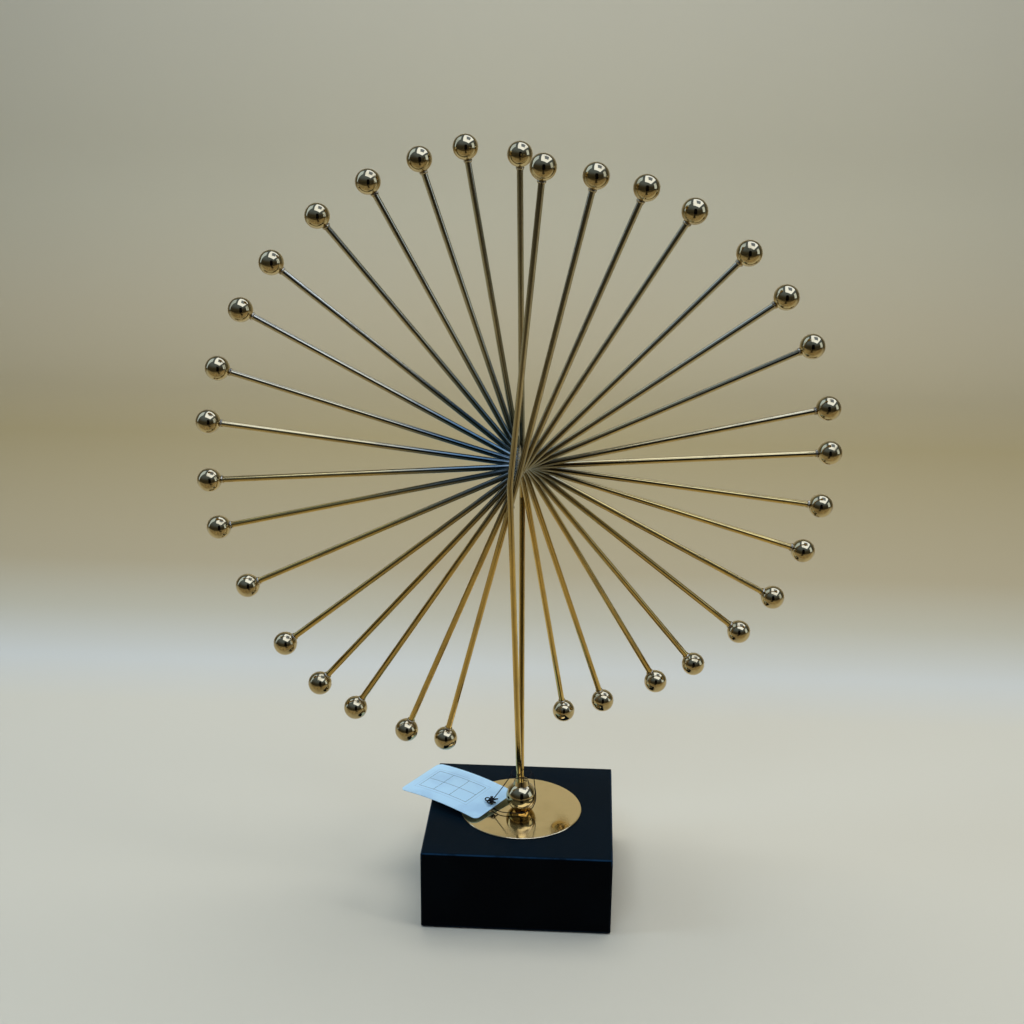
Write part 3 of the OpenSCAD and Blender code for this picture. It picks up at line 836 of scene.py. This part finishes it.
# painted reflection: seen only in mirrors, the near floor is golden and blotchy
blotch = put(tree, "TexNoise", {"Vector": place_of(tree), "Scale": 9.0, "Detail": 4.0}).outputs["Fac"]
near_side = calc(tree, "MULTIPLY", mirrored, smooth_range(tree, sy, 0.0, -0.2))
golden = blend_colour(
    tree, smooth_range(tree, blotch, 0.42, 0.6), (0.16, 0.11, 0.05, 1), (0.46, 0.36, 0.19, 1)
)
warm_floor = blend_colour(tree, calc(tree, "MULTIPLY", near_side, 0.75), paper, golden)
mirror_floor = blend_colour(tree, past_table, warm_floor, (0.10, 0.08, 0.045, 1))
off_middle = calc(tree, "ABSOLUTE", calc(tree, "SUBTRACT", sx, SHADE_X))
shade_across = smooth_range(tree, off_middle, SHADE_W, 0.5 * SHADE_W)
shade = calc(tree, "MULTIPLY", shade_across, smooth_range(tree, sy, -0.3, -0.42))
tree.links.new(
    blend_colour(tree, calc(tree, "MULTIPLY", shade, mirrored), mirror_floor, (0.03, 0.024, 0.014, 1)),
    shader.inputs["Base Color"],
)
sweep.data.materials.append(paper_tone)

# %% [markdown]
# Polished metal shows the room and not its own colour, so the room matters as much as the lamps. The
# world here is a dim room with a blue ceiling. A skylight with a darker middle and two windows are there
# for mirrors only. The lens sees a plain pale tone in the room's place, and matt surfaces are lit by a
# plain grey. A dark upright screen stands for the person in front: the lens can't see it and it shades
# nothing, but the metal mirrors it.

# %% The room
WINDOW_EDGE = 0.06


def window_patch(tree, view, towards, half_w, half_h):
    """1 inside a soft-edged window that is seen in a direction, and 0 outside it."""
    centre = Vector(towards).normalized()
    side = centre.cross(Vector((0, 0, 1))).normalized()
    ahead, across, above = (
        put(tree, "VectorMath", {0: view, 1: axis}, operation="DOT_PRODUCT").outputs["Value"]
        for axis in (centre, side, side.cross(centre))
    )
    mask = smooth_range(tree, ahead, 0.0, 0.1)
    for offset, half in ((across, half_w), (above, half_h)):
        spread = calc(tree, "ABSOLUTE", calc(tree, "DIVIDE", offset, ahead))
        mask = calc(tree, "MULTIPLY", mask, smooth_range(tree, spread, half + WINDOW_EDGE, half))
    return mask


world = bpy.data.worlds.new("studio_room")
bpy.context.scene.world = world
world.use_nodes = True
tree = world.node_tree
background = tree.nodes["Background"]
view = put(tree, "TexCoord").outputs["Generated"]
upward = put(tree, "SeparateXYZ", {0: view}).outputs[2]
room = blend_colour(tree, smooth_range(tree, upward, 0.1, 0.7), (0.05, 0.05, 0.04, 1), (0.13, 0.19, 0.32, 1))
WINDOWS = [
    ((0.30, -0.05, 0.95), 0.75, 0.55, (1.5, 1.9, 3.2, 1)),
    ((0.36, 0.05, 0.93), 0.28, 0.2, (0.25, 0.36, 0.7, 1)),
    ((-0.76, 0.25, 0.47), 0.3, 0.6, (0.7, 1.0, 1.7, 1)),
    ((0.95, -0.15, 0.2), 0.2, 0.28, (0.8, 1.05, 1.6, 1)),
]
light_path = put(tree, "LightPath").outputs
for towards, half_w, half_h, colour in WINDOWS:
    patch = window_patch(tree, view, towards, half_w, half_h)
    pane = calc(tree, "MULTIPLY", light_path["Is Glossy Ray"], patch)
    room = blend_colour(tree, pane, room, colour)
room = blend_colour(tree, light_path["Is Diffuse Ray"], room, (0.125, 0.125, 0.115, 1))
room = blend_colour(tree, light_path["Is Camera Ray"], room, (0.42, 0.41, 0.35, 1))
tree.links.new(room, background.inputs["Color"])

# %% The dark screen in front
SCREEN_W, SCREEN_LOW, SCREEN_HIGH, SCREEN_Y = 0.56, -0.05, 1.05, -1.2
SCREEN_X = 0.16
bpy.ops.object.select_all(action="DESELECT")
bpy.ops.mesh.primitive_plane_add(
    size=1.0, location=(SCREEN_X, SCREEN_Y, (SCREEN_LOW + SCREEN_HIGH) / 2), rotation=(math.pi / 2, 0, 0)
)
screen = bpy.context.object
bpy.ops.object.mode_set(mode="EDIT")
bpy.ops.transform.resize(value=(SCREEN_W, 1, SCREEN_HIGH - SCREEN_LOW))
bpy.ops.mesh.bevel(offset=0.2, segments=8, affect="VERTICES")
bpy.ops.object.mode_set(mode="OBJECT")
screen.name = "dark_screen"
screen.visible_camera = screen.visible_shadow = screen.visible_diffuse = False
cloth, tree, shader = new_finish("screen_cloth", Roughness=1.0, Specular_IOR_Level=0.0)
weave = put(tree, "TexNoise", {"Vector": place_of(tree), "Scale": 40.0}).outputs["Fac"]
black_cloth = blend_colour(tree, weave, (0.002, 0.002, 0.003, 1), (0.008, 0.008, 0.01, 1))
tree.links.new(black_cloth, shader.inputs["Base Color"])
screen.data.materials.append(cloth)


# %% The lamps
def soft_lamp(name, place, aim, size, watts, colour):
    """A square area lamp at a place, aimed at a point."""
    bpy.ops.object.select_all(action="DESELECT")
    bpy.ops.object.light_add(type="AREA", location=place)
    lamp = bpy.context.object
    lamp.name = name
    lamp.rotation_euler = (Vector(aim) - Vector(place)).to_track_quat("-Z", "Y").to_euler()
    lamp.data.shape = "RECTANGLE"
    lamp.data.size, lamp.data.size_y = size
    lamp.data.energy = watts
    lamp.data.color = colour
    lamp.visible_glossy = False
    print(name, watts, "W")


soft_lamp("overhead", (0.1, 0.35, 1.7), (0, 0.1, 0), (1.6, 1.1), 23.5, (1.0, 0.965, 0.89))
soft_lamp("window_front", (-0.25, -1.25, 1.75), (0, 0, 0.25), (0.9, 0.5), 9, (0.66, 0.83, 1.0))
soft_lamp("window_left", (-1.5, -0.3, 1.0), (0, 0, 0.3), (0.35, 0.9), 5, (0.6, 0.8, 1.0))
soft_lamp("lamp_right", (1.5, -0.5, 1.2), (0, 0, 0.3), (0.4, 0.8), 5, (1.0, 0.95, 0.86))
